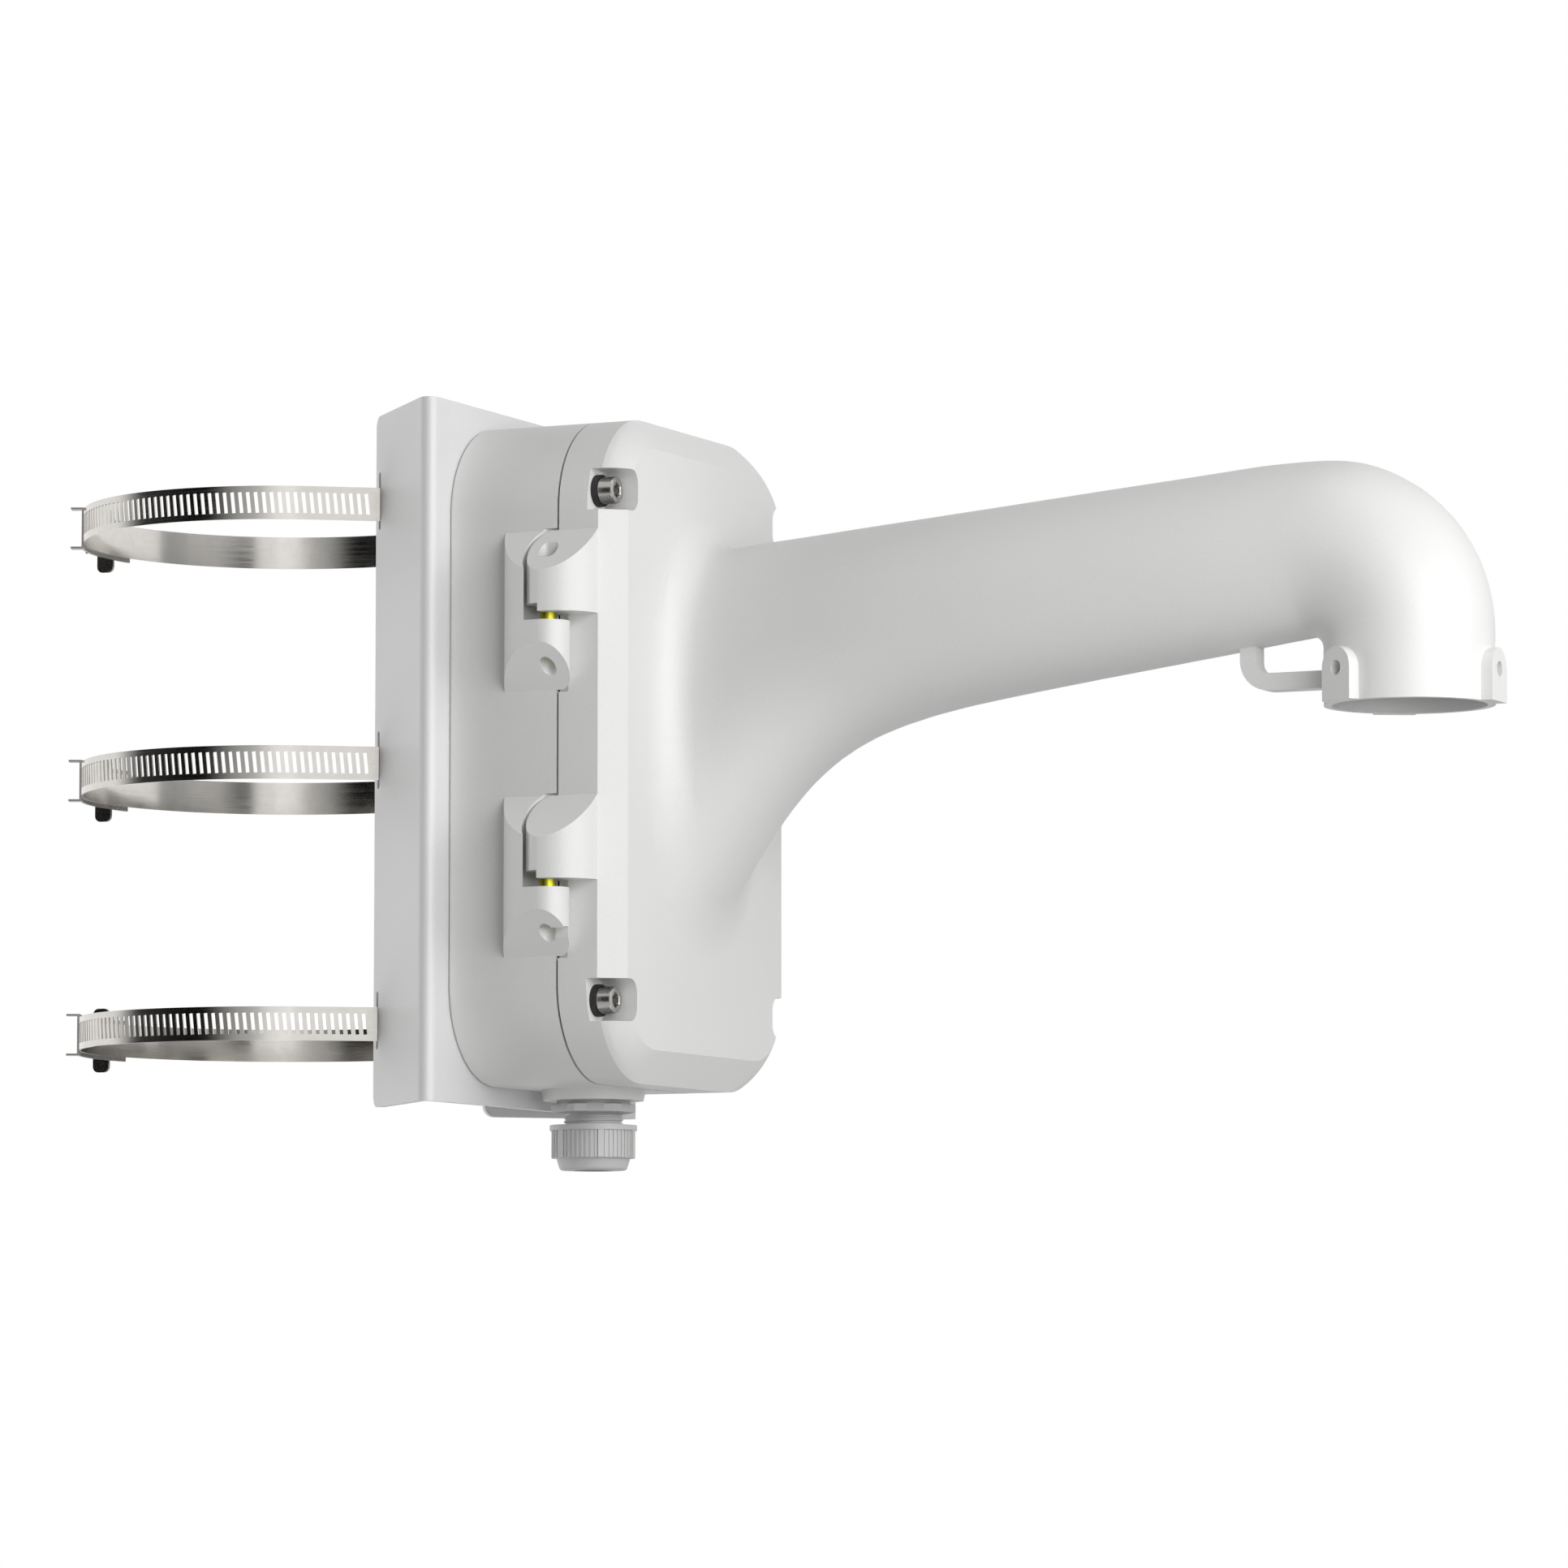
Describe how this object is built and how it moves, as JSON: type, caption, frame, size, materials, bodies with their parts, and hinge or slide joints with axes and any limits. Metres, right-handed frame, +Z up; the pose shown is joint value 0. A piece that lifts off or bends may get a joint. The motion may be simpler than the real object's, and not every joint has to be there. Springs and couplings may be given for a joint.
{
  "type": "camera pole mount bracket",
  "caption": "Pole mount for a dome camera: folded plate with band clamps, hinged junction box, hollow arm with a downward outlet and cable gland.",
  "frame": {"origin": "on the pole's axis, half-way up the pole plate", "axes": "+Z up the pole, +X along the arm away from the pole, +Y to the side away from the lid's hinges"},
  "size_m": [0.5844, 0.1745, 0.2853],
  "materials": {
    "plate_paint": "satin white powder coat",
    "cast_paint": "satin white powder coat on cast aluminium",
    "rubber": "matt black",
    "grey_rubber": "matt grey",
    "zinc_yellow": "yellow zinc plated steel",
    "screw_steel": "dark stainless",
    "bright_steel": "bright zinc plated",
    "band_steel": "polished stainless strip",
    "nylon": "pale grey nylon"
  },
  "bodies": {
    "base": {"pole_plate": "plate_paint", "rear_shell": "cast_paint", "hinge_pin_upper": "zinc_yellow", "hinge_pin_lower": "zinc_yellow", "box_bolts": "bright_steel", "box_bolt_washers": "bright_steel", "plate_washers": "bright_steel", "box_bolt_nuts": "bright_steel", "gland_body": "nylon", "gland_gasket": "grey_rubber", "gland_locknut": "nylon", "gland_seal": "grey_rubber", "clamp_band_top": "band_steel", "clamp_housing_top": "band_steel", "clamp_band_middle": "band_steel", "clamp_housing_middle": "band_steel", "clamp_band_bottom": "band_steel", "clamp_housing_bottom": "band_steel"},
    "lid": {"lid_arm": "cast_paint", "lid_gasket": "rubber", "lid_screws": "screw_steel", "lid_screw_seals": "rubber"},
    "gland_cap": {"gland_nut": "nylon"},
    "worm_top": {"clamp_screw_top": "bright_steel"},
    "worm_middle": {"clamp_screw_middle": "bright_steel"},
    "worm_bottom": {"clamp_screw_bottom": "bright_steel"}
  },
  "joints": [
    {"name": "lid_hinge", "type": "hinge", "parent": "base", "child": "lid", "pos_m": [0.15612, -0.0806, 0], "axis": [0, 0, -1], "range_deg": [0, 90]},
    {"name": "gland_nut_turn", "type": "hinge", "parent": "base", "child": "gland_cap", "pos_m": [0.13442, 0, -0.143], "axis": [0, 0, -1], "continuous": true},
    {"name": "worm_top_turn", "type": "hinge", "parent": "base", "child": "worm_top", "pos_m": [-0.08172, -0.00214, 0.0972], "axis": [0.0262, -0.9997, 0], "continuous": true},
    {"name": "worm_middle_turn", "type": "hinge", "parent": "base", "child": "worm_middle", "pos_m": [-0.08172, -0.00214, -0.0013], "axis": [0.0262, -0.9997, 0], "continuous": true},
    {"name": "worm_bottom_turn", "type": "hinge", "parent": "base", "child": "worm_bottom", "pos_m": [-0.08172, -0.00214, -0.0998], "axis": [0.0262, -0.9997, 0], "continuous": true}
  ]
}
